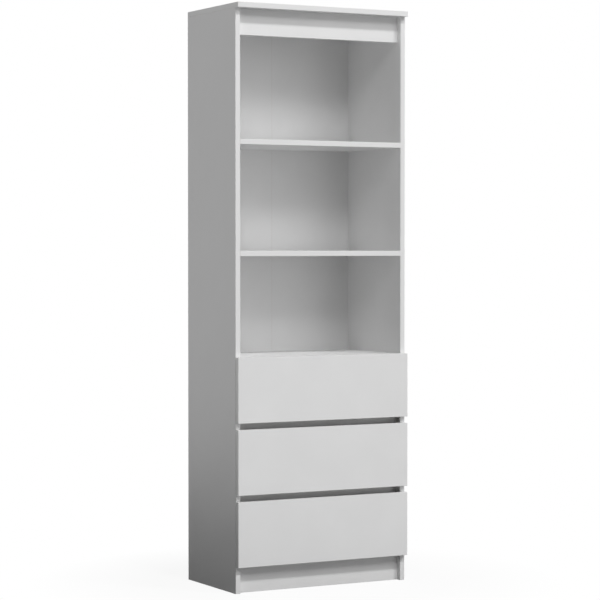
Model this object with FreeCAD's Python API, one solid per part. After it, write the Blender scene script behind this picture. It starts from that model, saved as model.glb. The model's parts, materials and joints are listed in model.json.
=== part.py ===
import FreeCAD
import Part

import math
import os
from collections import namedtuple

from FreeCAD import Vector

# A tall open bookcase with three handleless drawers below, flat-packed in laminated chipboard.
# Millimetres; +X is to the right, +Y to the back and +Z up; the origin is on the floor, under the middle.
# Every board, sheet, runner, pair of rollers and group of fasteners is a node of its own.

# Overall sizes and sheet goods
OVERALL_WIDTH = 600.0
OVERALL_DEPTH = 355.0  # from the drawer fronts to the rear of the back sheets
BOARD = 16.0  # laminated chipboard of the carcass and the drawer fronts
EDGE_RADIUS = 0.8  # rounding of the edge banding
BACK_SHEET = 3.0  # hardboard of the back
BACK_MARGIN = 2.0  # how far the back sheets stay inside the outline of the carcass
BACK_SEAM = 0.2  # gap between the two halves of the back, on the centre line
OVERRUN = 1.0  # how far a cutting tool runs past a face
TOUCH = 0.01  # two places closer than this are the same place

# Layout of the carcass
PLINTH_HEIGHT = 80.0
PLINTH_RECESS = 18.0  # behind the front edges of the side panels
LOWER_BAY_HEIGHT = 310.0  # clear heights of the open bays above the drawers
MIDDLE_BAY_HEIGHT = 325.0
UPPER_BAY_HEIGHT = 397.0
TOP_RAIL_HEIGHT = 80.0
TOP_RAIL_RECESS = 20.0
CROSS_RAIL_HEIGHT = 60.0
CROSS_RAIL_RECESS = 30.0  # room for fingers behind the gap between two drawer fronts

# Drawer fronts, which lie over the front edges of the carcass
DRAWERS = ("bottom", "middle", "top")
FRONT_STANDOFF = 2.5  # gap between a drawer front and the carcass
FRONT_BASE_CLEARANCE = 1.5  # from the top of the plinth to the lowest front
FRONT_HEIGHT = 200.0
FINGER_GAP = 20.0  # open gap between two fronts, by which the drawers are pulled
DECK_DROP = 1.5  # the deck lies this far below the top edge of the top front

# Drawer boxes
BOX_WALL = 12.0
BOX_REAR_ROOM = 36.0  # from the box to the back sheets
BOX_FLOOR_ROOM = 16.5  # from a cross rail up to the box above it
BOX_HEADROOM = 13.5  # from a box up to the cross rail above it
BASE_SHEET = 3.0  # hardboard base of a drawer
GROOVE_DEPTH = 6.0
GROOVE_LIFT = 10.0  # from the bottom edge of a wall up to the groove
GROOVE_PLAY = 0.1  # above and below the base sheet
BASE_END_PLAY = 0.5  # at the ends of the base sheet in its grooves

# Roller runners: a channel on the carcass and an angle under the drawer wall, each with one roller
RUNNER_SPACE = 12.5  # between the carcass and the drawer wall
RUNNER_STEEL = 1.2
RUNNER_BEND = 0.6  # inner radius of the bends
BEND_PLAY = 0.2  # between a bend and the edge of the wall that lies in it
RUNNER_SETBACK = 2.0  # from the front edge of the carcass to the channel
CHANNEL_HEIGHT = 25.2
CHANNEL_DROP = 2.0  # the channel reaches this far below the drawer wall
CHANNEL_PLAY = 0.8  # between the channel and the upright of the angle
FLANGE_LIFT = 3.3  # from the channel up to the flange of the angle
FLANGE_LIP = 2.3
LIP_PLAY = 2.0  # between the lip and the carcass
UNDER_FLANGE = 10.0  # part of the angle that lies under the drawer wall
ROLLER_SEAT = 0.3  # gap between a roller and the track it runs on
REAR_ROLLER_HEADROOM = 0.5
FRONT_ROLLER_HEADROOM = 2.0
ROLLER_SIDE_PLAY = 1.05
ROLLER_CROWN = 0.7  # chamfer of the tread
FRONT_ROLLER_INSET = 16.0  # from the front end of the channel to its roller
REAR_ROLLER_INSET = 14.0  # from the rear end of the angle to its roller
NOTCH_CLEARANCE = 3.0  # behind the front roller, in the cut-away top of the channel
STOP_OVERLAP = 5.5  # how far the stop of an open drawer reaches down over the rear roller
STOP_PLAY = 0.5  # between a stop and the rear roller at either end of its way
STOP_RELIEF = 1.0  # from the bends of the channel to a stop
RUNNER_SLOT_LENGTH = 12.0  # oblong holes in the channel, for other ways of fixing it
RUNNER_SLOT_WIDTH = 4.4
AXLE_DIAMETER = 5.0
AXLE_PLAY = 0.05
AXLE_SHOULDER_DIAMETER = 8.0
AXLE_END_PLAY = 0.1
AXLE_HEAD_DIAMETER = 8.4
AXLE_HEAD_THICKNESS = 0.8
AXLE_HEAD_SINK = 1.2  # depth of the recess in the roller for the head
AXLE_HEAD_ROOM = 0.6  # round the head in its recess

# Fasteners
HOLE_PLAY = 0.05  # round a fastener in its hole
CONNECTOR_INSET = 50.0  # from the front and rear edges of a board to its connectors
DOWEL_OFFSET = 32.0  # from a connector to the dowel beside it
RAIL_CONNECTOR_SHARE = 0.3  # of the height of a rail
RAIL_DOWEL_SHARE = 0.75
DOWEL_DIAMETER = 8.0
DOWEL_LENGTH = 30.0
DOWEL_SEAT = 10.0  # part of a dowel that sits in the face of the joined board
DOWEL_CHAMFER = 1.0
DOWEL_END_PLAY = 0.5
WALL_JOINT_SHARES = (0.4, 0.8)  # of the height of a drawer wall
SCREW_DIAMETER = 3.5
SCREW_LENGTH = 13.0
SCREW_HEAD_DIAMETER = 7.0
SCREW_HEAD_HEIGHT = 2.0
SCREW_HEAD_BEVEL = 0.8
SCREW_POINT = 2.0
SCREW_CROSS_WIDTH = 0.9  # cross recess in the head of a screw
SCREW_CROSS_DEPTH = 1.2
SCREW_CROSS_SHARE = 0.6  # of the diameter of the head
RUNNER_SCREW_SHARES = (0.2, 0.55, 0.9)  # of the length of a runner
RUNNER_SLOT_SHARES = (0.3, 0.45, 0.65, 0.8)
BASE_SCREW_SHARES = (-0.8, 0.0, 0.8)  # of the half width of a drawer base
CORNER_SCREW_DIAMETER = 4.0
CORNER_SCREW_LENGTH = 30.0
CORNER_SCREW_HEAD = 7.6
NAIL_DIAMETER = 1.6
NAIL_LENGTH = 20.0
NAIL_HEAD_DIAMETER = 4.0
NAIL_HEAD_HEIGHT = 0.5
NAIL_EDGE_SHARES = (0.03, 0.14, 0.25, 0.36, 0.47, 0.58, 0.69, 0.8, 0.91)  # of the height of the back
NAIL_ROW_SHARES = (0.05, 0.55)  # of the half width between the side panels

# Cam connectors: a cam lock in one board draws in a bolt that is set in the other
CamSize = namedtuple("CamSize", "lock pocket reach bore shank thread thread_depth")
CARCASS_CAM = CamSize(lock=15.0, pocket=12.5, reach=34.0, bore=8.0, shank=7.0, thread=5.0, thread_depth=11.0)
DRAWER_CAM = CamSize(lock=12.0, pocket=9.0, reach=24.0, bore=7.0, shank=6.0, thread=5.0, thread_depth=11.0)
CAM_PLAY = 0.1  # round a lock in its pocket
CAM_HEAD_LENGTH = 3.0  # the head of a bolt, and the neck before it
CAM_NECK_LENGTH = 4.0
CAM_NECK_SHARE = 0.6  # of the diameter of the shank
CAM_CROSS_WIDTH = 1.6  # cross recess in the face of a lock
CAM_CROSS_DEPTH = 1.5
CAM_CROSS_SHARE = 0.7  # of the diameter of the lock

# Angle brackets that tie the top of the bookcase to a wall
BRACKET_STEEL = 2.0
BRACKET_BEND = 2.0
BRACKET_WIDTH = 30.0
BRACKET_LEG = 32.0  # under the top panel
BRACKET_DROP = 40.0  # down the back
BRACKET_INSET = 60.0  # from a side panel to the middle of its bracket
BRACKET_SCREW_SHARE = 0.6  # of the leg, from the back
WALL_HOLE_DIAMETER = 6.0
WALL_HOLE_SHARE = 0.65  # of the drop, from the top

# Places that follow from the sizes of the carcass
HALF_WIDTH = OVERALL_WIDTH / 2
INNER_HALF = HALF_WIDTH - BOARD
FRONT_FACE = -OVERALL_DEPTH / 2
FRONT_REAR = FRONT_FACE + BOARD
CARCASS_FRONT = FRONT_REAR + FRONT_STANDOFF
REAR_FACE = OVERALL_DEPTH / 2
CARCASS_REAR = REAR_FACE - BACK_SHEET
FRONT_PITCH = FRONT_HEIGHT + FINGER_GAP
FRONT_BASES = [PLINTH_HEIGHT + FRONT_BASE_CLEARANCE + i * FRONT_PITCH for i in range(len(DRAWERS))]
DECK_TOP = FRONT_BASES[-1] + FRONT_HEIGHT - DECK_DROP
LOWER_SHELF_BASE = DECK_TOP + LOWER_BAY_HEIGHT
UPPER_SHELF_BASE = LOWER_SHELF_BASE + BOARD + MIDDLE_BAY_HEIGHT
TOP_UNDERSIDE = UPPER_SHELF_BASE + BOARD + UPPER_BAY_HEIGHT
OVERALL_HEIGHT = TOP_UNDERSIDE + BOARD
LEVELS = {
    "bottom_panel": PLINTH_HEIGHT,
    "drawer_deck": DECK_TOP - BOARD,
    "lower_shelf": LOWER_SHELF_BASE,
    "upper_shelf": UPPER_SHELF_BASE,
}
CONNECTOR_ROWS = (CARCASS_FRONT + CONNECTOR_INSET, CARCASS_REAR - CONNECTOR_INSET)
DOWEL_ROWS = (CONNECTOR_ROWS[0] + DOWEL_OFFSET, CONNECTOR_ROWS[1] - DOWEL_OFFSET)

# Places in a drawer box, upwards from the bottom edge of its walls
BOX_HALF = INNER_HALF - RUNNER_SPACE
BOX_INNER_HALF = BOX_HALF - BOX_WALL
BOX_REAR = CARCASS_REAR - BOX_REAR_ROOM
BOX_LIFT = (CROSS_RAIL_HEIGHT - FINGER_GAP) / 2 + BOX_FLOOR_ROOM
BOX_HEIGHT = FRONT_PITCH - CROSS_RAIL_HEIGHT - BOX_FLOOR_ROOM - BOX_HEADROOM
BASE_LIFT = GROOVE_LIFT + GROOVE_PLAY
GROOVE_TOP = BASE_LIFT + BASE_SHEET + GROOVE_PLAY
GROOVE_HALF = BOX_INNER_HALF + GROOVE_DEPTH
BASE_HALF = GROOVE_HALF - BASE_END_PLAY

# Places in a runner: across from the carcass, and upwards from the bottom edge of the drawer wall
HALF_STEEL = RUNNER_STEEL / 2
CHANNEL_WIDTH = RUNNER_SPACE - RUNNER_STEEL - CHANNEL_PLAY
CHANNEL_TOP = CHANNEL_HEIGHT - CHANNEL_DROP
TRACK = RUNNER_STEEL - CHANNEL_DROP
FLANGE_UNDERSIDE = CHANNEL_TOP + FLANGE_LIFT
FLANGE_MIDDLE = FLANGE_UNDERSIDE + HALF_STEEL
ROLLER_NEAR = LIP_PLAY + RUNNER_STEEL + ROLLER_SIDE_PLAY
ROLLER_FAR = RUNNER_SPACE - RUNNER_STEEL - ROLLER_SIDE_PLAY
ROLLER_WIDTH = ROLLER_FAR - ROLLER_NEAR
REAR_ROLLER_RADIUS = (CHANNEL_TOP - RUNNER_STEEL - TRACK - ROLLER_SEAT - REAR_ROLLER_HEADROOM) / 2
REAR_ROLLER_RISE = TRACK + ROLLER_SEAT + REAR_ROLLER_RADIUS
FRONT_ROLLER_RADIUS = (FLANGE_UNDERSIDE - TRACK - ROLLER_SEAT - FRONT_ROLLER_HEADROOM) / 2
FRONT_ROLLER_RISE = FLANGE_UNDERSIDE - ROLLER_SEAT - FRONT_ROLLER_RADIUS
RUNNER_LENGTH = BOX_REAR - FRONT_REAR
REAR_ROLLER_PLACE = BOX_REAR - REAR_ROLLER_INSET
CHANNEL_FRONT = CARCASS_FRONT + RUNNER_SETBACK
CHANNEL_REAR = REAR_ROLLER_PLACE + REAR_ROLLER_RADIUS + STOP_PLAY + RUNNER_STEEL
CHANNEL_LENGTH = CHANNEL_REAR - CHANNEL_FRONT
FRONT_ROLLER_PLACE = CHANNEL_FRONT + FRONT_ROLLER_INSET
BEND_OUTSIDE = RUNNER_STEEL + RUNNER_BEND
FLANGE_END = CHANNEL_REAR - BEND_OUTSIDE
OPEN_STOP = FRONT_ROLLER_PLACE + FRONT_ROLLER_RADIUS + NOTCH_CLEARANCE

RIGHT, BACK, UP = Vector(1, 0, 0), Vector(0, 1, 0), Vector(0, 0, 1)
SIDES = {"left": -1, "right": 1}

# What one fastener adds to a joint, and what it cuts from the board that meets the joint with its edge
# and from the board that meets it with its face
Fixing = namedtuple("Fixing", "pieces edge_cuts face_cuts")


class Assembly:
    """The named nodes. Boards collect the cuts for their fasteners, which are made when they are written."""

    def __init__(self):
        self.solids = {}
        self.cuts = {}

    def add(self, name, *solids):
        self.solids.setdefault(name, []).extend(solids)

    def cut(self, name, *tools):
        self.cuts.setdefault(name, []).extend(tools)

    def fix(self, fixing, piece_names, edge_board, face_board):
        for name, piece in zip(piece_names, fixing.pieces):
            self.add(name, piece)
        self.cut(edge_board, *fixing.edge_cuts)
        self.cut(face_board, *fixing.face_cuts)

    def write(self, folder):
        os.makedirs(folder, exist_ok=True)
        for name, solids in self.solids.items():
            if name in self.cuts:
                solids = [solid.cut(self.cuts[name]) for solid in solids]
            whole = Part.makeCompound([piece for solid in solids for piece in solid.Solids])
            whole.exportStep(os.path.join(folder, name + ".step"))


def block(low, high):
    """A block between two opposite corners, given in any order."""
    corner = Vector(*(min(pair) for pair in zip(low, high)))
    return Part.makeBox(*(abs(b - a) for a, b in zip(low, high)), corner)


def softened(board, chosen, radius=EDGE_RADIUS):
    """The board with rounded edges, chosen by a test of the middle of each edge."""
    return board.makeFillet(radius, [edge for edge in board.Edges if chosen(edge.CenterOfMass)])


def placed(shape, origin, x_axis, z_axis):
    """A shape made about its own origin, set at a point with its X and Z axes along these directions."""
    rotation = FreeCAD.Rotation(x_axis, z_axis.cross(x_axis), z_axis, "ZXY")
    shape.Placement = FreeCAD.Placement(origin, rotation)
    return shape


def handed(shape, side):
    """A shape made for the left side, as it is or mirrored to the right."""
    return shape if side == "left" else shape.mirror(Vector(), RIGHT)


def square_to(axis):
    """A direction of the frame that is square to an axis of the frame."""
    return RIGHT if abs(axis.x) < TOUCH else UP


def turned(outline, origin, axis):
    """A turned piece: an outline of places along an axis and radii from it, spun round that axis."""
    points = [Vector(radius, 0, along) for along, radius in outline]
    face = Part.Face(Part.makePolygon(points + points[:1]))
    return placed(face.revolve(Vector(), UP, 360), origin, square_to(axis), axis)


def cross_recess(face, outward, length, width, depth):
    """The two bars that cut a cross recess for a screwdriver into a face that looks outward."""
    along = square_to(outward)
    bars = []
    for direction in (along, along.cross(outward)):
        bar = block(Vector(-length / 2, -width / 2, -depth), Vector(length / 2, width / 2, OVERRUN))
        bars.append(placed(bar, face, direction, outward))
    return bars


def strip_face(path, offset, bend):
    """One face of a bent strip, at an offset to the left of its middle line: lines joined by arcs."""
    steps = [(after - before).normalize() for before, after in zip(path, path[1:])]
    normals = [UP.cross(step) for step in steps]
    stations = [[path[0] + normals[0] * offset]]
    for i, corner in enumerate(path[1:-1]):
        turn = 1 if steps[i].cross(steps[i + 1]).z > 0 else -1
        tangent = bend * math.tan(steps[i].getAngle(steps[i + 1]) / 2)
        centre = corner - steps[i] * tangent + normals[i] * (turn * bend)
        middle = (normals[i] + normals[i + 1]).normalize()
        reach = turn * bend - offset
        stations.append([centre - normal * reach for normal in (normals[i], middle, normals[i + 1])])
    stations.append([path[-1] + normals[-1] * offset])
    edges = [Part.makeLine(here[-1], there[0]) for here, there in zip(stations, stations[1:])]
    edges += [Part.Arc(*station).toShape() for station in stations[1:-1]]
    return edges, stations[0][0], stations[-1][0]


def bent_strip(middle_line, thickness, inner_bend, length):
    """Sheet metal bent to a middle line of (x, y) points and run out along z."""
    path = [Vector(x, y, 0) for x, y in middle_line]
    bend = inner_bend + thickness / 2
    left_edges, left_start, left_end = strip_face(path, thickness / 2, bend)
    right_edges, right_start, right_end = strip_face(path, -thickness / 2, bend)
    ends = [Part.makeLine(left_start, right_start), Part.makeLine(left_end, right_end)]
    outline = Part.Wire(Part.__sortEdges__(left_edges + right_edges + ends))
    return Part.Face(outline).extrude(UP * length)


def screw_recess(face, axis, head_diameter):
    """The cross recess in the head of a screw that is driven along the axis."""
    return cross_recess(face, -axis, SCREW_CROSS_SHARE * head_diameter, SCREW_CROSS_WIDTH, SCREW_CROSS_DEPTH)


def pan_screw(origin, axis):
    """A pan-head screw, its head resting on the origin, driven along the axis."""
    radius, head = SCREW_DIAMETER / 2, SCREW_HEAD_DIAMETER / 2
    outline = [(-SCREW_HEAD_HEIGHT, 0), (-SCREW_HEAD_HEIGHT, head - SCREW_HEAD_BEVEL)]
    outline += [(SCREW_HEAD_BEVEL - SCREW_HEAD_HEIGHT, head), (0, head), (0, radius)]
    screw = turned(outline + [(SCREW_LENGTH - SCREW_POINT, radius), (SCREW_LENGTH, 0)], origin, axis)
    return screw.cut(screw_recess(origin - axis * SCREW_HEAD_HEIGHT, axis, SCREW_HEAD_DIAMETER))


def pan_screw_hole(origin, axis):
    """The hole for a pan-head screw, from just before the origin."""
    length = OVERRUN + SCREW_LENGTH + HOLE_PLAY
    return Part.makeCylinder(SCREW_DIAMETER / 2 + HOLE_PLAY, length, origin - axis * OVERRUN, axis)


def corner_screw_form(origin, axis, play):
    """The form of a countersunk wood screw, its head level with the origin, with some play round it."""
    radius, head = CORNER_SCREW_DIAMETER / 2 + play, CORNER_SCREW_HEAD / 2 + play
    end = CORNER_SCREW_LENGTH + play
    outline = [(0, 0), (0, head), (head - radius, radius), (end - SCREW_POINT, radius), (end, 0)]
    return turned(outline, origin, axis)


def corner_screw(origin, axis):
    """A countersunk wood screw with a cross recess."""
    return corner_screw_form(origin, axis, 0).cut(screw_recess(origin, axis, CORNER_SCREW_HEAD))


def nail(origin, axis):
    """A flat-headed nail, its head lying on the origin, driven along the axis."""
    radius, head = NAIL_DIAMETER / 2, NAIL_HEAD_DIAMETER / 2
    outline = [(-NAIL_HEAD_HEIGHT, 0), (-NAIL_HEAD_HEIGHT, head), (0, head), (0, radius)]
    return turned(outline + [(NAIL_LENGTH - NAIL_DIAMETER, radius), (NAIL_LENGTH, 0)], origin, axis)


def dowel(origin, inward):
    """A wooden dowel across a joint. Inward points from the joined face into the edge that meets it."""
    radius, start = DOWEL_DIAMETER / 2, origin - inward * DOWEL_SEAT
    outline = [(0, 0), (0, radius - DOWEL_CHAMFER), (DOWEL_CHAMFER, radius)]
    outline += [(DOWEL_LENGTH - DOWEL_CHAMFER, radius), (DOWEL_LENGTH, radius - DOWEL_CHAMFER)]
    peg = turned(outline + [(DOWEL_LENGTH, 0)], start, inward)
    hole_length = DOWEL_LENGTH + 2 * DOWEL_END_PLAY
    hole = Part.makeCylinder(radius + HOLE_PLAY, hole_length, start - inward * DOWEL_END_PLAY, inward)
    return Fixing([peg], [hole], [hole])


def cam_bolt(origin, inward, size):
    """The bolt of a cam connector: threaded end, collar on the joined face, shank, neck and head."""
    shank, neck, thread = size.shank / 2, CAM_NECK_SHARE * size.shank / 2, size.thread / 2
    head_end = size.reach + CAM_HEAD_LENGTH / 2
    neck_end = head_end - CAM_HEAD_LENGTH
    neck_start = neck_end - CAM_NECK_LENGTH
    outline = [(-size.thread_depth, 0), (-size.thread_depth, thread), (0, thread), (0, shank)]
    outline += [(neck_start, shank), (neck_start, neck), (neck_end, neck), (neck_end, shank)]
    return turned(outline + [(head_end, shank), (head_end, 0)], origin, inward)


def cam_lock(face, opening, size):
    """The round lock in its pocket, with a cross recess outside."""
    lock = Part.makeCylinder(size.lock / 2, size.pocket - CAM_PLAY, face, -opening)
    cross_length = CAM_CROSS_SHARE * size.lock
    return lock.cut(cross_recess(face, opening, cross_length, CAM_CROSS_WIDTH, CAM_CROSS_DEPTH))


def cam_connector(origin, inward, opening, thickness, size):
    """A cam lock and its bolt. Opening points from the middle of the board to the face with the lock."""
    face = origin + inward * size.reach + opening * (thickness / 2)
    bore_end = size.reach + CAM_HEAD_LENGTH / 2 + CAM_PLAY
    bore = Part.makeCylinder(size.bore / 2, bore_end, origin, inward)
    lock = cam_lock(face, opening, size).cut(bore)
    pocket_start = face + opening * OVERRUN
    pocket = Part.makeCylinder(size.lock / 2 + CAM_PLAY, OVERRUN + size.pocket, pocket_start, -opening)
    thread_length = size.thread_depth + HOLE_PLAY
    thread_hole = Part.makeCylinder(size.thread / 2 + HOLE_PLAY, thread_length, origin, -inward)
    return Fixing([lock, cam_bolt(origin, inward, size)], [pocket, bore], [thread_hole])


def fix_carcass_joint(model, connector_place, dowel_place, inward, opening, edge_board, face_board):
    """One cam connector and one dowel between two boards of the carcass."""
    connector = cam_connector(connector_place, inward, opening, BOARD, CARCASS_CAM)
    model.fix(connector, ("carcass_cam_locks", "carcass_cam_bolts"), edge_board, face_board)
    model.fix(dowel(dowel_place, inward), ("carcass_dowels",), edge_board, face_board)


def make_side_panels(model):
    """The two uprights, from the floor to the top panel, with banded front edges."""
    for side, sign in SIDES.items():
        low = Vector(sign * INNER_HALF, CARCASS_FRONT, 0)
        panel = block(low, Vector(sign * HALF_WIDTH, CARCASS_REAR, TOP_UNDERSIDE))
        banded = lambda c: c.y < CARCASS_FRONT + TOUCH and TOUCH < c.z < TOP_UNDERSIDE - TOUCH
        model.add(f"{side}_side_panel", softened(panel, banded))


def make_top_panel(model):
    """The top lies on the side panels and reaches as far forward as the drawer fronts."""
    low = Vector(-HALF_WIDTH, FRONT_FACE, TOP_UNDERSIDE)
    top = block(low, Vector(HALF_WIDTH, CARCASS_REAR, OVERALL_HEIGHT))
    model.add("top_panel", softened(top, lambda c: c.y < CARCASS_REAR - TOUCH))
    for side, sign in SIDES.items():
        middle = sign * (HALF_WIDTH - BOARD / 2)
        for connector_row, dowel_row in zip(CONNECTOR_ROWS, DOWEL_ROWS):
            places = [Vector(middle, row, TOP_UNDERSIDE) for row in (connector_row, dowel_row)]
            fix_carcass_joint(model, *places, -UP, RIGHT * -sign, f"{side}_side_panel", "top_panel")


def make_level(model, name, base):
    """A shelf, deck or bottom between the side panels, held by cam locks let into its underside."""
    low = Vector(-INNER_HALF, CARCASS_FRONT, base)
    board = block(low, Vector(INNER_HALF, CARCASS_REAR, base + BOARD))
    banded = lambda c: c.y < CARCASS_FRONT + TOUCH and abs(c.x) < INNER_HALF - TOUCH
    model.add(name, softened(board, banded))
    for side, sign in SIDES.items():
        for connector_row, dowel_row in zip(CONNECTOR_ROWS, DOWEL_ROWS):
            places = [Vector(sign * INNER_HALF, row, base + BOARD / 2) for row in (connector_row, dowel_row)]
            fix_carcass_joint(model, *places, RIGHT * -sign, -UP, name, f"{side}_side_panel")


def make_rail(model, name, base, height, recess):
    """A rail on edge between the side panels, held at each end by a cam lock in its rear face and a dowel."""
    front = CARCASS_FRONT + recess
    rail = block(Vector(-INNER_HALF, front, base), Vector(INNER_HALF, front + BOARD, base + height))
    banded = lambda c: c.y < front + TOUCH and abs(c.x) < INNER_HALF - TOUCH
    model.add(name, softened(rail, banded))
    for side, sign in SIDES.items():
        rises = [base + share * height for share in (RAIL_CONNECTOR_SHARE, RAIL_DOWEL_SHARE)]
        places = [Vector(sign * INNER_HALF, front + BOARD / 2, rise) for rise in rises]
        fix_carcass_joint(model, *places, RIGHT * -sign, BACK, name, f"{side}_side_panel")


def make_rails(model):
    """The rail under the top, the plinth, and a rail behind each gap between two drawer fronts."""
    make_rail(model, "top_rail", TOP_UNDERSIDE - TOP_RAIL_HEIGHT, TOP_RAIL_HEIGHT, TOP_RAIL_RECESS)
    make_rail(model, "plinth_board", 0, PLINTH_HEIGHT, PLINTH_RECESS)
    for name, front_base in zip(("lower_cross_rail", "upper_cross_rail"), FRONT_BASES[1:]):
        base = front_base - (FINGER_GAP + CROSS_RAIL_HEIGHT) / 2
        make_rail(model, name, base, CROSS_RAIL_HEIGHT, CROSS_RAIL_RECESS)


def make_back(model):
    """The two hardboard halves of the back, which meet on the centre line, and the nails that hold them."""
    low, high = PLINTH_HEIGHT, OVERALL_HEIGHT - BACK_MARGIN
    for side, sign in SIDES.items():
        seam_corner = Vector(sign * BACK_SEAM / 2, CARCASS_REAR, low)
        sheet = block(seam_corner, Vector(sign * (HALF_WIDTH - BACK_MARGIN), REAR_FACE, high))
        model.add(f"{side}_back_sheet", sheet)
        places = [(HALF_WIDTH - BOARD / 2, low + share * (high - low)) for share in NAIL_EDGE_SHARES]
        for base in (*LEVELS.values(), TOP_UNDERSIDE):
            places += [(share * INNER_HALF, base + BOARD / 2) for share in NAIL_ROW_SHARES]
        model.add("back_nails", *(nail(Vector(sign * x, REAR_FACE, z), -BACK) for x, z in places))


def make_wall_brackets(model):
    """Steel angles under the top panel and against the back, each with a hole for a screw into the wall."""
    half = BRACKET_STEEL / 2
    middle_line = [(-BRACKET_LEG, -half), (-half, -half), (-half, -BRACKET_DROP)]
    for side, sign in SIDES.items():
        middle = sign * (INNER_HALF - BRACKET_INSET)
        corner = Vector(middle - BRACKET_WIDTH / 2, CARCASS_REAR, TOP_UNDERSIDE)
        angle = bent_strip(middle_line, BRACKET_STEEL, BRACKET_BEND, BRACKET_WIDTH)
        angle = placed(angle, corner, BACK, RIGHT)
        seat_row = CARCASS_REAR - BRACKET_SCREW_SHARE * BRACKET_LEG
        seat = Vector(middle, seat_row, TOP_UNDERSIDE - BRACKET_STEEL)
        wall_row = CARCASS_REAR - BRACKET_STEEL - OVERRUN
        wall_place = Vector(middle, wall_row, TOP_UNDERSIDE - WALL_HOLE_SHARE * BRACKET_DROP)
        wall_length = BRACKET_STEEL + BACK_SHEET + 2 * OVERRUN
        wall_hole = Part.makeCylinder(WALL_HOLE_DIAMETER / 2, wall_length, wall_place, BACK)
        screw_hole = pan_screw_hole(seat, UP)
        model.add("wall_brackets", angle.cut([wall_hole, screw_hole]))
        model.add("carcass_screws", pan_screw(seat, UP))
        model.cut(f"{side}_back_sheet", wall_hole)
        model.cut("top_panel", screw_hole)


def runner_place(across, along, rise, box_base):
    """A place in a left-hand runner, across from the carcass and up from the bottom of the drawer wall."""
    return Vector(across - INNER_HALF, along, box_base + rise)


def riveted_axle(origin, axis, shoulder_length):
    """An axle riveted into a runner, with a shoulder before the roller and a head sunk in its far side."""
    shaft, shoulder, head = AXLE_DIAMETER / 2, AXLE_SHOULDER_DIAMETER / 2, AXLE_HEAD_DIAMETER / 2
    head_start = shoulder_length + ROLLER_WIDTH - AXLE_HEAD_SINK + 2 * AXLE_END_PLAY
    head_end = head_start + AXLE_HEAD_THICKNESS
    outline = [(0, 0), (0, shoulder), (shoulder_length, shoulder), (shoulder_length, shaft)]
    outline += [(head_start, shaft), (head_start, head), (head_end, head), (head_end, 0)]
    return turned(outline, origin, axis)


def roller(radius, origin, axis):
    """A nylon roller from its plain side along its axis to the side with the recess for the axle's head."""
    bore = AXLE_DIAMETER / 2 + AXLE_PLAY
    recess = AXLE_HEAD_DIAMETER / 2 + AXLE_HEAD_ROOM
    floor = ROLLER_WIDTH - AXLE_HEAD_SINK
    outline = [(0, bore), (0, radius - ROLLER_CROWN), (ROLLER_CROWN, radius)]
    outline += [(ROLLER_WIDTH - ROLLER_CROWN, radius), (ROLLER_WIDTH, radius - ROLLER_CROWN)]
    return turned(outline + [(ROLLER_WIDTH, recess), (floor, recess), (floor, bore)], origin, axis)


def channel_strip(box_base):
    """The channel itself, its top cut away over the front roller as far as the bend of the open stop."""
    low, high = HALF_STEEL - CHANNEL_DROP, CHANNEL_TOP - HALF_STEEL
    middle_line = [(CHANNEL_WIDTH, high), (HALF_STEEL, high), (HALF_STEEL, low), (CHANNEL_WIDTH, low)]
    strip = bent_strip(middle_line, RUNNER_STEEL, RUNNER_BEND, FLANGE_END - CHANNEL_FRONT)
    strip = placed(strip, runner_place(0, FLANGE_END, 0, box_base), RIGHT, -BACK)
    notch_low = runner_place(RUNNER_STEEL, CHANNEL_FRONT - OVERRUN, CHANNEL_TOP - BEND_OUTSIDE, box_base)
    notch_high = runner_place(RUNNER_SPACE, OPEN_STOP + BEND_OUTSIDE, CHANNEL_TOP + OVERRUN, box_base)
    return strip.cut(block(notch_low, notch_high))


def open_stop(box_base):
    """The end of the channel's top, bent down in the way of the rear roller of an open drawer."""
    front, high = OPEN_STOP + HALF_STEEL, CHANNEL_TOP - HALF_STEEL
    low = REAR_ROLLER_RISE + REAR_ROLLER_RADIUS - STOP_OVERLAP
    middle_line = [(OPEN_STOP + BEND_OUTSIDE + OVERRUN, high), (front, high), (front, low)]
    near = BEND_OUTSIDE + STOP_RELIEF
    strip = bent_strip(middle_line, RUNNER_STEEL, RUNNER_BEND, CHANNEL_WIDTH - near)
    return placed(strip, runner_place(near, 0, 0, box_base), BACK, RIGHT)


def shut_stop(box_base):
    """The rear end of the channel's web, bent in behind the rear roller of a shut drawer."""
    rear = CHANNEL_REAR - HALF_STEEL
    middle_line = [(HALF_STEEL, FLANGE_END - OVERRUN), (HALF_STEEL, rear), (CHANNEL_WIDTH, rear)]
    low = TRACK + RUNNER_BEND + STOP_RELIEF
    high = CHANNEL_TOP - BEND_OUTSIDE - STOP_RELIEF
    strip = bent_strip(middle_line, RUNNER_STEEL, RUNNER_BEND, high - low)
    return placed(strip, runner_place(0, 0, low, box_base), RIGHT, UP)


def channel_slot(share, box_base):
    """The tool for one oblong hole in the channel's web: a bar with round ends."""
    half, radius = (RUNNER_SLOT_LENGTH - RUNNER_SLOT_WIDTH) / 2, RUNNER_SLOT_WIDTH / 2
    middle = CHANNEL_FRONT + share * CHANNEL_LENGTH
    depth = RUNNER_STEEL + 2 * OVERRUN
    ends = [runner_place(-OVERRUN, middle + reach, REAR_ROLLER_RISE, box_base) for reach in (-half, half)]
    tools = [Part.makeCylinder(radius, depth, end, RIGHT) for end in ends]
    tools.append(block(ends[0] - UP * radius, ends[1] + UP * radius + RIGHT * depth))
    return tools


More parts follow.
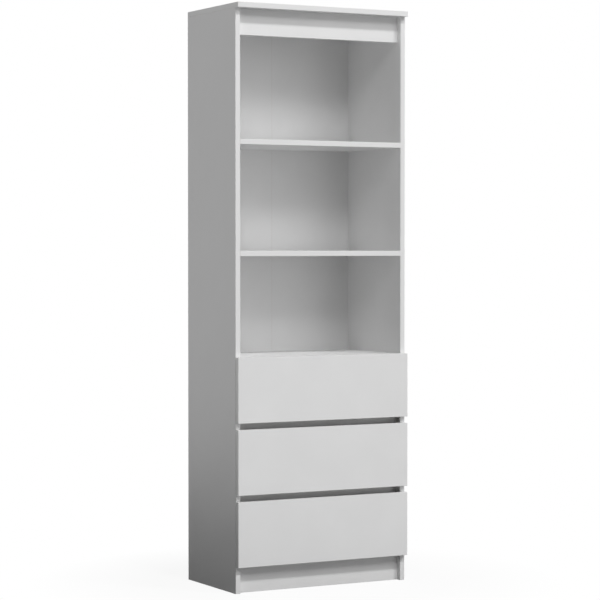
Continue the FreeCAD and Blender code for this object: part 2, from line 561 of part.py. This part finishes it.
def make_carcass_runner(model, drawer, side, box_base):
    """The channel screwed to the side panel, with a stop at each end and the front roller on its axle."""
    pivot = runner_place(HALF_STEEL, FRONT_ROLLER_PLACE, FRONT_ROLLER_RISE, box_base)
    axle = riveted_axle(pivot, RIGHT, ROLLER_NEAR - AXLE_END_PLAY - HALF_STEEL)
    channel = channel_strip(box_base).fuse([open_stop(box_base), shut_stop(box_base), axle])
    for share in RUNNER_SLOT_SHARES:
        channel = channel.cut(channel_slot(share, box_base))
    for share in RUNNER_SCREW_SHARES:
        along = CHANNEL_FRONT + share * CHANNEL_LENGTH
        seat = runner_place(RUNNER_STEEL, along, REAR_ROLLER_RISE, box_base)
        hole = pan_screw_hole(seat, -RIGHT)
        channel = channel.cut(hole)
        model.add("carcass_screws", handed(pan_screw(seat, -RIGHT), side))
        model.cut(f"{side}_side_panel", handed(hole, side))
    model.add(f"{drawer}_{side}_carcass_runner", handed(channel.removeSplitter(), side))
    tread = runner_place(ROLLER_NEAR, FRONT_ROLLER_PLACE, FRONT_ROLLER_RISE, box_base)
    model.add(f"{drawer}_front_rollers", handed(roller(FRONT_ROLLER_RADIUS, tread, RIGHT), side))


def make_drawer_runner(model, drawer, side, box_base):
    """The angle under a drawer wall: its flange lies on the front roller, and it carries the rear roller."""
    lip, upright = LIP_PLAY + HALF_STEEL, RUNNER_SPACE - HALF_STEEL
    middle_line = [(lip, FLANGE_UNDERSIDE - FLANGE_LIP), (lip, FLANGE_MIDDLE), (upright, FLANGE_MIDDLE)]
    middle_line += [(upright, -HALF_STEEL), (RUNNER_SPACE + UNDER_FLANGE, -HALF_STEEL)]
    angle = bent_strip(middle_line, RUNNER_STEEL, RUNNER_BEND, RUNNER_LENGTH)
    angle = placed(angle, runner_place(0, BOX_REAR, 0, box_base), RIGHT, -BACK)
    pivot = runner_place(upright, REAR_ROLLER_PLACE, REAR_ROLLER_RISE, box_base)
    angle = angle.fuse(riveted_axle(pivot, -RIGHT, upright - ROLLER_FAR - AXLE_END_PLAY))
    for share in RUNNER_SCREW_SHARES:
        across = RUNNER_SPACE + (BOX_WALL - GROOVE_DEPTH) / 2
        seat = runner_place(across, FRONT_REAR + share * RUNNER_LENGTH, -RUNNER_STEEL, box_base)
        hole = pan_screw_hole(seat, UP)
        angle = angle.cut(hole)
        model.add(f"{drawer}_drawer_screws", handed(pan_screw(seat, UP), side))
        model.cut(f"{drawer}_drawer_{side}_wall", handed(hole, side))
    model.add(f"{drawer}_drawer_{side}_runner", handed(angle, side))
    tread = runner_place(ROLLER_FAR, REAR_ROLLER_PLACE, REAR_ROLLER_RISE, box_base)
    model.add(f"{drawer}_rear_rollers", handed(roller(REAR_ROLLER_RADIUS, tread, -RIGHT), side))


def make_drawer_front(model, drawer, front_base, box_base):
    """A plain banded board over the whole width, with a groove behind for the base of the drawer."""
    low = Vector(-HALF_WIDTH, FRONT_FACE, front_base)
    front = block(low, Vector(HALF_WIDTH, FRONT_REAR, front_base + FRONT_HEIGHT))
    model.add(f"{drawer}_drawer_front", softened(front, lambda c: True))
    groove_low = Vector(-GROOVE_HALF, FRONT_REAR - GROOVE_DEPTH, box_base + GROOVE_LIFT)
    groove = block(groove_low, Vector(GROOVE_HALF, FRONT_REAR + OVERRUN, box_base + GROOVE_TOP))
    model.cut(f"{drawer}_drawer_front", groove)


def make_drawer_wall(model, drawer, side, box_base):
    """A drawer side, grooved for the base, held to the front by cam connectors."""
    sign, name = SIDES[side], f"{drawer}_drawer_{side}_wall"
    top = box_base + BOX_HEIGHT
    low = Vector(sign * BOX_HALF, FRONT_REAR, box_base)
    wall = block(low, Vector(sign * BOX_INNER_HALF, BOX_REAR, top))
    inside = lambda c: FRONT_REAR + TOUCH < c.y < BOX_REAR - TOUCH
    wall = softened(wall, lambda c: inside(c) and c.z > top - TOUCH)
    in_bend = lambda c: inside(c) and c.z < box_base + TOUCH and abs(c.x) > BOX_HALF - TOUCH
    model.add(name, softened(wall, in_bend, RUNNER_BEND + BEND_PLAY))
    groove_low = Vector(sign * (BOX_INNER_HALF - OVERRUN), FRONT_REAR - OVERRUN, box_base + GROOVE_LIFT)
    model.cut(name, block(groove_low, Vector(sign * GROOVE_HALF, BOX_REAR + OVERRUN, box_base + GROOVE_TOP)))
    for share in WALL_JOINT_SHARES:
        place = Vector(sign * (BOX_HALF - BOX_WALL / 2), FRONT_REAR, box_base + share * BOX_HEIGHT)
        connector = cam_connector(place, BACK, RIGHT * -sign, BOX_WALL, DRAWER_CAM)
        fittings = f"{drawer}_drawer_fittings"
        model.fix(connector, (fittings, fittings), name, f"{drawer}_drawer_front")


def make_drawer_back(model, drawer, box_base):
    """The back of a drawer, between its walls and on its base, held by screws through the walls."""
    name = f"{drawer}_drawer_back_wall"
    low = Vector(-BOX_INNER_HALF, BOX_REAR - BOX_WALL, box_base + GROOVE_TOP)
    back = block(low, Vector(BOX_INNER_HALF, BOX_REAR, box_base + BOX_HEIGHT))
    on_top = lambda c: c.z > box_base + BOX_HEIGHT - TOUCH and abs(c.x) < BOX_INNER_HALF - TOUCH
    model.add(name, softened(back, on_top))
    for side, sign in SIDES.items():
        for share in WALL_JOINT_SHARES:
            place = Vector(sign * BOX_HALF, BOX_REAR - BOX_WALL / 2, box_base + share * BOX_HEIGHT)
            hole = corner_screw_form(place, RIGHT * -sign, HOLE_PLAY)
            model.add(f"{drawer}_drawer_screws", corner_screw(place, RIGHT * -sign))
            model.cut(name, hole)
            model.cut(f"{drawer}_drawer_{side}_wall", hole)


def make_drawer_base(model, drawer, box_base):
    """The hardboard base, in the grooves of the front and the walls and screwed up into the back."""
    name, base = f"{drawer}_drawer_base", box_base + BASE_LIFT
    low = Vector(-BASE_HALF, FRONT_REAR - GROOVE_DEPTH + BASE_END_PLAY, base)
    model.add(name, block(low, Vector(BASE_HALF, BOX_REAR, base + BASE_SHEET)))
    for share in BASE_SCREW_SHARES:
        seat = Vector(share * BASE_HALF, BOX_REAR - BOX_WALL / 2, base)
        hole = pan_screw_hole(seat, UP)
        model.add(f"{drawer}_drawer_screws", pan_screw(seat, UP))
        model.cut(name, hole)
        model.cut(f"{drawer}_drawer_back_wall", hole)


def make_drawer(model, drawer, front_base):
    """One drawer, and the runners and rollers that it rides on."""
    box_base = front_base + BOX_LIFT
    make_drawer_front(model, drawer, front_base, box_base)
    for side in SIDES:
        make_drawer_wall(model, drawer, side, box_base)
        make_drawer_runner(model, drawer, side, box_base)
        make_carcass_runner(model, drawer, side, box_base)
    make_drawer_back(model, drawer, box_base)
    make_drawer_base(model, drawer, box_base)


def make_bookcase():
    """Build every node and write it to its own file."""
    model = Assembly()
    make_side_panels(model)
    make_top_panel(model)
    for name, base in LEVELS.items():
        make_level(model, name, base)
    make_rails(model)
    make_back(model)
    make_wall_brackets(model)
    for drawer, front_base in zip(DRAWERS, FRONT_BASES):
        make_drawer(model, drawer, front_base)
    model.write("parts")


make_bookcase()
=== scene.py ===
"""Looks of a white bookcase with three bottom drawers: finishes, floor, light and camera."""

import json
import math
from collections import namedtuple

import bmesh
import bpy
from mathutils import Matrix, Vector


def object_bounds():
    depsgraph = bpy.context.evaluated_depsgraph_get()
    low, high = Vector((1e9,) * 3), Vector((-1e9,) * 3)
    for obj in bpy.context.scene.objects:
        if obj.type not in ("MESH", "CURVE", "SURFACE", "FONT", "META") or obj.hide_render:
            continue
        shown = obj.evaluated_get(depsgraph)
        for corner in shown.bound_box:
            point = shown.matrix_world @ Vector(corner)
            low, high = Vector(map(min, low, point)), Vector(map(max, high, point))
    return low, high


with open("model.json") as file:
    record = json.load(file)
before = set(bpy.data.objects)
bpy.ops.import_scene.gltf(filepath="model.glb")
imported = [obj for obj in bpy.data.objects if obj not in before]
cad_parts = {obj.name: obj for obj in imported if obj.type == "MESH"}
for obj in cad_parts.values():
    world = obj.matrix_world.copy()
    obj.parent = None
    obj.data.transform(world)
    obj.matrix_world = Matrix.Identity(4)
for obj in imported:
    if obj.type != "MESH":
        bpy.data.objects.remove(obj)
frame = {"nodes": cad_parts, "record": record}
cad_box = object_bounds()

DRAWERS = ("bottom", "middle", "top")


def grey(level):
    """A grey colour, from 0 for black to 1 for white."""
    return (level, level, level, 1.0)


# Camera: a long lens, left of the bookcase and level with its middle
CAMERA_PLACE = (-3.2888, -6.0812, 1.0675)
CAMERA_LEVEL = 90.0  # turned up from straight down to level
CAMERA_YAW = 28.471
CAMERA_PITCH = 1.47
CAMERA_LENS = 130.986
CAMERA_SENSOR = 36.0

# Light: two small lamps far off and high up, three wide ones lower down, and a soft uneven sky
Lamp = namedtuple("Lamp", "place size power")
Lobe = namedtuple("Lobe", "towards sharpness strength")
LAMPS = {
    "high_left": Lamp((0.0, -10.8, 14.5), (1.3, 1.3), 840.0),
    "high_right": Lamp((6.8, -10.8, 13.6), (1.3, 1.3), 720.0),
    "near_left": Lamp((-4.8, -8.0, 7.0), (1.6, 2.4), 104.0),
    "near_middle": Lamp((0.0, -8.0, 6.6), (1.9, 2.4), 84.0),
    "near_right": Lamp((3.5, -8.0, 6.4), (4.2, 2.8), 88.0),
}
LAMP_TARGET = (0.0, 0.0, 0.9)
SKY_LOBES = {
    "below_left": Lobe((-1.0, 0.0, -0.74), 10.0, 1.46),
    "behind_left": Lobe((-1.0, 1.0, -0.6), 3.0, 0.38),
    "front": Lobe((0.32, -1.0, -0.04), 60.0, 1.9),
    "half_right": Lobe((0.5, -1.0, 0.0), 8.0, 0.30),
    "front_right": Lobe((1.0, -1.0, 0.2), 6.0, 0.52),
    "right": Lobe((1.0, 0.0, 0.0), 3.0, 0.28),
}

# White of the background and of the floor's rim
WHITE = grey(1.0)
WHITE_STRENGTH = 1.0

# Floor: a round floor that fades into the white background; pale where it is seen, but far darker to the
# light that it sends back onto the bookcase, as painted shade that stands in for the floor's shadow
FLOOR_RADIUS = 0.85
FLOOR_FADE_RADIUS = 0.45
FLOOR_CORNERS = 96
FLOOR_CLOUD_SCALE = 6.0
# Painted shade: the dark floor colours that light sent back onto the bookcase meets, in place of the
# shadowed floor beside it
FLOOR_PAINTED_SHADE_DARK = grey(0.12)
FLOOR_PAINTED_SHADE_PALE = grey(0.16)
FLOOR_DARK = grey(0.86)
FLOOR_PALE = grey(0.92)
FLOOR_WHITE_SHARE = 0.92

# Noise, the same kind in every finish
NOISE_DETAIL = 3.0
NOISE_SPAN = (0.3, 0.7)  # the range in which nearly all of the noise lies

# Sockets of a Mix node for each kind of data: share, first value, second value and result
MIX_SOCKETS = {"FLOAT": (0, 2, 3, 0), "RGBA": (0, 6, 7, 2)}


class Graph:
    """A node tree with short calls to add nodes and wire them."""

    def __init__(self, tree):
        self.tree = tree
        self.tree.nodes.clear()

    def feed(self, socket, value):
        """Wire another node's output to a socket, or set a plain value on it."""
        if isinstance(value, bpy.types.NodeSocket):
            self.tree.links.new(value, socket)
        else:
            socket.default_value = value

    def node(self, kind, inputs=None, **settings):
        made = self.tree.nodes.new("ShaderNode" + kind)
        for key, value in settings.items():
            setattr(made, key, value)
        for socket, value in (inputs or {}).items():
            self.feed(made.inputs[socket], value)
        return made

    def place(self):
        """The place on the object, in metres."""
        return self.node("TexCoord").outputs["Object"]

    def noise(self, scale, place=None):
        inputs = {"Vector": place or self.place(), "Scale": scale, "Detail": NOISE_DETAIL}
        return self.node("TexNoise", inputs).outputs["Fac"]

    def clouds(self, scale, place=None):
        """Noise that fills the range from 0 to 1."""
        return self.span(self.noise(scale, place), *NOISE_SPAN)

    def stretched(self, factors):
        """The place with each axis times its factor; a small factor draws a pattern out along that axis."""
        return self.node("Mapping", {"Vector": self.place(), "Scale": factors}).outputs["Vector"]

    def math(self, operation, first, second=0.0):
        return self.node("Math", {0: first, 1: second}, operation=operation).outputs["Value"]

    def chain(self, operation, values):
        """One value out of many, joined one after the other."""
        result = values[0]
        for value in values[1:]:
            result = self.math(operation, result, value)
        return result

    def most(self, *values):
        """The largest of some values."""
        return self.chain("MAXIMUM", values)

    def span(self, value, low, high, start=0.0, end=1.0):
        """A value between low and high, mapped to the range from start to end."""
        inputs = {"Value": value, "From Min": low, "From Max": high, "To Min": start, "To Max": end}
        return self.node("MapRange", inputs).outputs["Result"]

    def mix(self, kind, *values):
        *sockets, result = MIX_SOCKETS[kind]
        return self.node("Mix", dict(zip(sockets, values)), data_type=kind).outputs[result]

    def between(self, share, first, second):
        """From the first number to the second by the share."""
        return self.mix("FLOAT", share, first, second)

    def blend(self, share, first, second):
        """From the first colour to the second by the share."""
        return self.mix("RGBA", share, first, second)

    def relief(self, height):
        """The normal of a surface raised by a height in metres."""
        return self.node("Bump", {"Height": height, "Strength": 1.0, "Distance": 1.0}).outputs["Normal"]

    def surface(self, inputs):
        shader = self.node("BsdfPrincipled", inputs)
        self.node("OutputMaterial", {"Surface": shader.outputs["BSDF"]})


def material_graph(name):
    material = bpy.data.materials.new(name)
    material.use_nodes = True
    return material, Graph(material.node_tree)


# Masks by direction: which way a surface faces, and whether it lies on that side of its board
FACING_LOW, FACING_HIGH = 0.55, 0.75
SIDE_SHARE = 0.02


def facing(graph, side):
    """1 where the surface faces a side such as "-y" of its piece, else 0."""
    normal = graph.node("SeparateXYZ", {0: graph.node("TexCoord").outputs["Normal"]})
    along = normal.outputs[side[1].upper()]
    if side[0] == "-":
        along = graph.math("MULTIPLY", along, -1.0)
    return graph.span(along, FACING_LOW, FACING_HIGH)


def on_side(graph, side):
    """1 where the surface faces a side of its piece and lies on that side of the piece's box, else 0."""
    place = graph.node("SeparateXYZ", {0: graph.node("TexCoord").outputs["Generated"]})
    share = place.outputs[side[1].upper()]
    if side[0] == "-":
        there = graph.math("LESS_THAN", share, SIDE_SHARE)
    else:
        there = graph.math("GREATER_THAN", share, 1.0 - SIDE_SHARE)
    return graph.math("MULTIPLY", facing(graph, side), there)


# Scuffs: fine streaks from front to back, the way that drawers and books slide
SCUFF_SCALE = 900.0
SCUFF_STRETCH = (1.0, 0.04, 1.0)
SCUFF_SPAN = (0.52, 0.72)


def scuffs(graph, *sides):
    """From 0 to 1 on the faces that look to the named sides."""
    streaks = graph.span(graph.noise(SCUFF_SCALE, graph.stretched(SCUFF_STRETCH)), *SCUFF_SPAN)
    return graph.math("MULTIPLY", streaks, graph.most(*[facing(graph, side) for side in sides]))


# White laminated board; hands polish its edge bands, and what stands on it scuffs its upper faces
LAMINATE_PALE = grey(0.880)
LAMINATE_DEEP = grey(0.855)
BAND_PALE = grey(0.865)
GLUE_LINE = (0.700, 0.692, 0.675, 1.0)
CHIP_COLOURS = ((0.30, 0.19, 0.10, 1.0), (0.55, 0.40, 0.25, 1.0), (0.68, 0.53, 0.36, 1.0))
LAMINATE_CLOUD_SCALE = 7.0
LAMINATE_PEARL_SCALE = 900.0
LAMINATE_PEARL_DEPTH = 0.00006
LAMINATE_ROUGH = (0.40, 0.52)
LAMINATE_GLOSS = 0.3
LAMINATE_SCUFF_ROUGH_STEP = 0.16
BAND_RUB_SCALE = 35.0
BAND_RUB_ROUGH_STEP = -0.14
CHIP_STRETCH = (1.0, 1.0, 1.6)
CHIP_SCALE = 420.0
CHIP_DEPTH = 0.0006
CHIP_ROUGH = 0.85


def chip_texture(graph):
    """Colour and height of the raw chipboard that shows where no edge band is glued on."""
    chips = graph.node("TexVoronoi", {"Vector": graph.stretched(CHIP_STRETCH), "Scale": CHIP_SCALE})
    tone = graph.node("SeparateColor", {0: chips.outputs["Color"]}).outputs[0]
    ramp = graph.node("ValToRGB", {"Fac": tone})
    stops = ramp.color_ramp.elements
    stops.new((stops[0].position + stops[1].position) / 2)
    for stop, colour in zip(stops, CHIP_COLOURS):
        stop.color = colour
    return ramp.outputs["Color"], chips.outputs["Distance"]


def laminate(name, face_axis, banded_sides):
    """White laminate on the two faces, edge band on the named sides, raw chipboard on every other edge."""
    material, graph = material_graph(name)
    face = graph.most(facing(graph, "-" + face_axis), facing(graph, "+" + face_axis))
    band = graph.most(*[on_side(graph, side) for side in banded_sides])
    white = graph.most(face, band)
    cloud = graph.clouds(LAMINATE_CLOUD_SCALE)
    face_colour = graph.blend(cloud, LAMINATE_DEEP, LAMINATE_PALE)
    white_colour = graph.blend(band, face_colour, BAND_PALE)
    glued = graph.blend(graph.math("MULTIPLY", face, band), white_colour, GLUE_LINE)
    chip_colour, chip_height = chip_texture(graph)
    colour = graph.blend(white, chip_colour, glued)
    face_rough = graph.span(cloud, 0.0, 1.0, *LAMINATE_ROUGH)
    rubbed = graph.math("MULTIPLY", band, graph.clouds(BAND_RUB_SCALE))
    rub_step = graph.math("MULTIPLY", rubbed, BAND_RUB_ROUGH_STEP)
    scuff_step = graph.math("MULTIPLY", scuffs(graph, "+z"), LAMINATE_SCUFF_ROUGH_STEP)
    white_rough = graph.chain("ADD", (face_rough, rub_step, scuff_step))
    pearl = graph.math("MULTIPLY", graph.noise(LAMINATE_PEARL_SCALE), LAMINATE_PEARL_DEPTH)
    chips = graph.math("MULTIPLY", chip_height, CHIP_DEPTH)
    inputs = {"Base Color": colour, "Roughness": graph.between(white, CHIP_ROUGH, white_rough)}
    inputs["Normal"] = graph.relief(graph.between(white, chips, pearl))
    inputs["Specular IOR Level"] = LAMINATE_GLOSS
    graph.surface(inputs)
    return material


# Kinds of board: the axis its two faces look along, and the sides with an edge band
LAMINATE_KINDS = {
    "upright": ("x", ("-y",)),
    "level": ("z", ("-y",)),
    "top": ("z", ("-y", "-x", "+x")),
    "rail": ("y", ("-z", "+z")),
    "front": ("y", ("-x", "+x", "-z", "+z")),
    "wall": ("x", ("+z",)),
    "end_wall": ("y", ("+z",)),
}
LAMINATE_NODES = {
    "upright": ["left_side_panel", "right_side_panel"],
    "level": ["bottom_panel", "drawer_deck", "lower_shelf", "upper_shelf"],
    "top": ["top_panel"],
    "rail": ["top_rail", "plinth_board", "upper_cross_rail", "lower_cross_rail"],
    "front": [d + "_drawer_front" for d in DRAWERS],
    "wall": [d + "_drawer_" + side + "_wall" for d in DRAWERS for side in ("left", "right")],
    "end_wall": [d + "_drawer_back_wall" for d in DRAWERS],
}

# Hardboard, lacquered white on one face; the other is bare fibre with the print of a screen
LACQUER_PALE = grey(0.865)
LACQUER_DEEP = grey(0.840)
LACQUER_CLOUD_SCALE = 5.0
LACQUER_GRAIN_SCALE = 700.0
LACQUER_DEPTH = 0.00003
LACQUER_ROUGH = (0.36, 0.46)
LACQUER_GLOSS = 0.3
FIBRE_PALE = (0.42, 0.285, 0.170, 1.0)
FIBRE_DEEP = (0.25, 0.155, 0.085, 1.0)
FIBRE_SCALE = 260.0
FIBRE_BLOT_SCALE = 22.0
FIBRE_BLOT_SHARE = 0.45
FIBRE_STRETCH = (1.0, 1.0, 0.35)
FIBRE_ROUGH = 0.78
SCREEN_PITCH = 0.0018
SCREEN_DEPTH = 0.00018


def screen_print(graph, axes):
    """The woven print of the pressing screen along two axes of the sheet, from 0 to 1."""
    place = graph.node("SeparateXYZ", {0: graph.place()}).outputs
    turn = math.tau / SCREEN_PITCH
    waves = [graph.math("SINE", graph.math("MULTIPLY", place[axis], turn)) for axis in axes]
    return graph.span(graph.math("MULTIPLY", *waves), -1.0, 1.0)


def hardboard(name, white_side, sheet_axes):
    """White lacquer on the named side of a sheet, bare fibre elsewhere."""
    material, graph = material_graph(name)
    white = facing(graph, white_side)
    cloud = graph.clouds(LACQUER_CLOUD_SCALE)
    lacquer = graph.blend(cloud, LACQUER_DEEP, LACQUER_PALE)
    fibre = graph.clouds(FIBRE_SCALE, graph.stretched(FIBRE_STRETCH))
    blots = graph.math("MULTIPLY", graph.clouds(FIBRE_BLOT_SCALE), FIBRE_BLOT_SHARE)
    tone = graph.math("ADD", graph.math("MULTIPLY", fibre, 1.0 - FIBRE_BLOT_SHARE), blots)
    bare = graph.blend(tone, FIBRE_DEEP, FIBRE_PALE)
    print_height = graph.math("MULTIPLY", screen_print(graph, sheet_axes), SCREEN_DEPTH)
    lacquer_height = graph.math("MULTIPLY", graph.noise(LACQUER_GRAIN_SCALE), LACQUER_DEPTH)
    lacquer_rough = graph.span(cloud, 0.0, 1.0, *LACQUER_ROUGH)
    inputs = {"Base Color": graph.blend(white, bare, lacquer)}
    inputs["Roughness"] = graph.between(white, FIBRE_ROUGH, lacquer_rough)
    inputs["Normal"] = graph.relief(graph.between(white, print_height, lacquer_height))
    inputs["Specular IOR Level"] = LACQUER_GLOSS
    graph.surface(inputs)
    return material


# White powder coat on the runners, scuffed by the rollers
COAT_PALE = (0.80, 0.80, 0.79, 1.0)
COAT_DEEP = (0.74, 0.74, 0.73, 1.0)
COAT_CLOUD_SCALE = 30.0
COAT_PEEL_SCALE = 620.0
COAT_PEEL_DEPTH = 0.00005
COAT_ROUGH = (0.26, 0.40)
COAT_SCUFFED = grey(0.46)
COAT_SCUFF_ROUGH_STEP = 0.18


def coated_steel():
    """Powder coat with a slight orange peel and fine scuffs on its level faces."""
    material, graph = material_graph("coated_steel_look")
    cloud = graph.clouds(COAT_CLOUD_SCALE)
    scuff = scuffs(graph, "+z", "-z")
    coat = graph.blend(cloud, COAT_DEEP, COAT_PALE)
    coat_rough = graph.span(cloud, 0.0, 1.0, *COAT_ROUGH)
    scuff_step = graph.math("MULTIPLY", scuff, COAT_SCUFF_ROUGH_STEP)
    peel = graph.math("MULTIPLY", graph.noise(COAT_PEEL_SCALE), COAT_PEEL_DEPTH)
    inputs = {"Base Color": graph.blend(scuff, coat, COAT_SCUFFED)}
    inputs["Roughness"] = graph.math("ADD", coat_rough, scuff_step)
    inputs["Normal"] = graph.relief(peel)
    graph.surface(inputs)
    return material


# Zinc on screws, cams and nails
ZINC_PALE = (0.66, 0.67, 0.68, 1.0)
ZINC_DEEP = (0.46, 0.47, 0.48, 1.0)
ZINC_GRAIN_SCALE = 700.0
ZINC_GRAIN_DEPTH = 0.00003
ZINC_ROUGH = (0.28, 0.46)


def zinc_steel():
    """Zinc plating in fine spangles of slightly different tone and gloss."""
    material, graph = material_graph("zinc_steel_look")
    spangle = graph.node("TexVoronoi", {"Vector": graph.place(), "Scale": ZINC_GRAIN_SCALE})
    tone = graph.node("SeparateColor", {0: spangle.outputs["Color"]}).outputs[0]
    grain = graph.math("MULTIPLY", graph.noise(ZINC_GRAIN_SCALE), ZINC_GRAIN_DEPTH)
    inputs = {"Base Color": graph.blend(tone, ZINC_DEEP, ZINC_PALE), "Metallic": 1.0}
    inputs["Roughness"] = graph.span(tone, 0.0, 1.0, *ZINC_ROUGH)
    inputs["Normal"] = graph.relief(grain)
    graph.surface(inputs)
    return material


# Moulded nylon rollers
NYLON_PALE = (0.80, 0.79, 0.75, 1.0)
NYLON_DEEP = (0.72, 0.71, 0.67, 1.0)
NYLON_CLOUD_SCALE = 120.0
NYLON_ROUGH = (0.34, 0.48)
NYLON_GRAIN_SCALE = 1400.0
NYLON_GRAIN_DEPTH = 0.00002
NYLON_GLOW_SHARE = 0.12
NYLON_GLOW_DEPTH = 0.002


def nylon():
    """Cloudy off-white nylon that lets a little light in."""
    material, graph = material_graph("nylon_look")
    cloud = graph.clouds(NYLON_CLOUD_SCALE)
    grain = graph.math("MULTIPLY", graph.noise(NYLON_GRAIN_SCALE), NYLON_GRAIN_DEPTH)
    inputs = {"Base Color": graph.blend(cloud, NYLON_DEEP, NYLON_PALE)}
    inputs["Roughness"] = graph.span(cloud, 0.0, 1.0, *NYLON_ROUGH)
    inputs["Normal"] = graph.relief(grain)
    inputs["Subsurface Weight"] = NYLON_GLOW_SHARE
    inputs["Subsurface Scale"] = NYLON_GLOW_DEPTH
    graph.surface(inputs)
    return material


# Beech of the dowels, with the grain along their length
BEECH_PALE = (0.62, 0.43, 0.26, 1.0)
BEECH_DEEP = (0.46, 0.29, 0.16, 1.0)
BEECH_GRAIN_SCALE = 500.0
BEECH_GRAIN_STRETCH = (0.1, 1.0, 1.0)
BEECH_GRAIN_DEPTH = 0.00005
BEECH_ROUGH = (0.55, 0.70)


def beech():
    """Plain beech with a fine grain."""
    material, graph = material_graph("beech_look")
    grain = graph.clouds(BEECH_GRAIN_SCALE, graph.stretched(BEECH_GRAIN_STRETCH))
    inputs = {"Base Color": graph.blend(grain, BEECH_DEEP, BEECH_PALE)}
    inputs["Roughness"] = graph.span(grain, 0.0, 1.0, *BEECH_ROUGH)
    inputs["Normal"] = graph.relief(graph.math("MULTIPLY", grain, BEECH_GRAIN_DEPTH))
    graph.surface(inputs)
    return material


def dress(node, material):
    slots = frame["nodes"][node].data.materials
    slots.clear()
    slots.append(material)


def dress_boards():
    for kind, (face_axis, banded_sides) in LAMINATE_KINDS.items():
        material = laminate("laminate_" + kind, face_axis, banded_sides)
        for node in LAMINATE_NODES[kind]:
            dress(node, material)
    back = hardboard("back_sheet_look", "-y", "XZ")
    for node in ("left_back_sheet", "right_back_sheet"):
        dress(node, back)
    base = hardboard("drawer_base_look", "+z", "XY")
    for drawer in DRAWERS:
        dress(drawer + "_drawer_base", base)


def dress_fittings():
    by_slot = {"coated_steel": coated_steel(), "zinc_steel": zinc_steel()}
    by_slot.update({"nylon": nylon(), "beech_dowel": beech()})
    for part in frame["record"]["subparts"]:
        if part["material_slot"] in by_slot:
            dress(part["node"], by_slot[part["material_slot"]])


def seen_directly(graph):
    """1 for the rays that show the background itself, to the eye, in a gloss or through glass."""
    path = graph.node("LightPath").outputs
    return graph.most(path["Is Camera Ray"], path["Is Glossy Ray"], path["Is Transmission Ray"])


def floor_material():
    """A matt floor, dark to the light that it sends back, as painted shade for the floor's shadow; where it
    is seen directly it is pale and brightened, up to plain white at its rim.
    """
    material, graph = material_graph("floor_look")
    tone = graph.clouds(FLOOR_CLOUD_SCALE)
    # Painted shade: the floor is dark for every ray that does not show it directly
    painted_floor_shade = graph.node("BsdfDiffuse", {"Color": graph.blend(tone, FLOOR_PAINTED_SHADE_DARK, FLOOR_PAINTED_SHADE_PALE)})
    matt = graph.node("BsdfDiffuse", {"Color": graph.blend(tone, FLOOR_DARK, FLOOR_PALE)})
    white = graph.node("Emission", {"Color": WHITE, "Strength": WHITE_STRENGTH})
    far = graph.node("VectorMath", {0: graph.place()}, operation="LENGTH").outputs["Value"]
    share = graph.span(far, FLOOR_FADE_RADIUS, FLOOR_RADIUS, FLOOR_WHITE_SHARE, 1.0)
    seen = graph.node("MixShader", {0: share, 1: matt.outputs[0], 2: white.outputs[0]})
    mixed = graph.node("MixShader", {0: seen_directly(graph), 1: painted_floor_shade.outputs[0], 2: seen.outputs[0]})
    graph.node("OutputMaterial", {"Surface": mixed.outputs[0]})
    return material


def make_floor():
    mesh = bpy.data.meshes.new("floor")
    shape = bmesh.new()
    bmesh.ops.create_circle(shape, cap_ends=True, segments=FLOOR_CORNERS, radius=FLOOR_RADIUS)
    shape.to_mesh(mesh)
    shape.free()
    floor = bpy.data.objects.new("floor", mesh)
    floor.location.z = cad_box[0][2]
    bpy.context.scene.collection.objects.link(floor)
    mesh.materials.append(floor_material())


def lobe_light(graph, lobe):
    """Light that is brightest from one side and falls off around it."""
    way = graph.node("TexCoord").outputs["Generated"]
    towards = Vector(lobe.towards).normalized()
    along = graph.node("VectorMath", {0: way, 1: towards}, operation="DOT_PRODUCT").outputs["Value"]
    spread = graph.math("POWER", graph.math("MAXIMUM", along, 0.0), lobe.sharpness)
    return graph.math("MULTIPLY", spread, lobe.strength)


def make_sky():
    """Soft light from a few sides; the sky itself is plain white where it is seen."""
    world = bpy.data.worlds.new("sky")
    world.use_nodes = True
    graph = Graph(world.node_tree)
    light = graph.chain("ADD", [lobe_light(graph, lobe) for lobe in SKY_LOBES.values()])
    seen = seen_directly(graph)
    unseen = graph.math("SUBTRACT", 1.0, seen)
    shown = graph.math("MULTIPLY", seen, WHITE_STRENGTH)
    strength = graph.math("ADD", graph.math("MULTIPLY", unseen, light), shown)
    sky = graph.node("Background", {"Color": WHITE, "Strength": strength})
    graph.node("OutputWorld", {"Surface": sky.outputs[0]})
    bpy.context.scene.world = world


def make_lamp(name, lamp):
    data = bpy.data.lights.new(name, "AREA")
    data.shape = "RECTANGLE"
    data.size, data.size_y = lamp.size
    data.energy = lamp.power
    stand = bpy.data.objects.new(name, data)
    stand.location = lamp.place
    aim = Vector(LAMP_TARGET) - Vector(lamp.place)
    stand.rotation_euler = aim.to_track_quat("-Z", "Y").to_euler()
    bpy.context.scene.collection.objects.link(stand)


def make_camera():
    data = bpy.data.cameras.new("main_camera")
    data.lens = CAMERA_LENS
    data.sensor_width = CAMERA_SENSOR
    camera = bpy.data.objects.new("main_camera", data)
    camera.location = CAMERA_PLACE
    tilt = math.radians(CAMERA_LEVEL - CAMERA_PITCH)
    camera.rotation_euler = (tilt, 0.0, math.radians(-CAMERA_YAW))
    bpy.context.scene.collection.objects.link(camera)
    bpy.context.scene.camera = camera


dress_boards()
dress_fittings()
make_floor()
make_sky()
for lamp_name, lamp in LAMPS.items():
    make_lamp(lamp_name, lamp)
make_camera()
bpy.context.scene.view_settings.view_transform = "Standard"
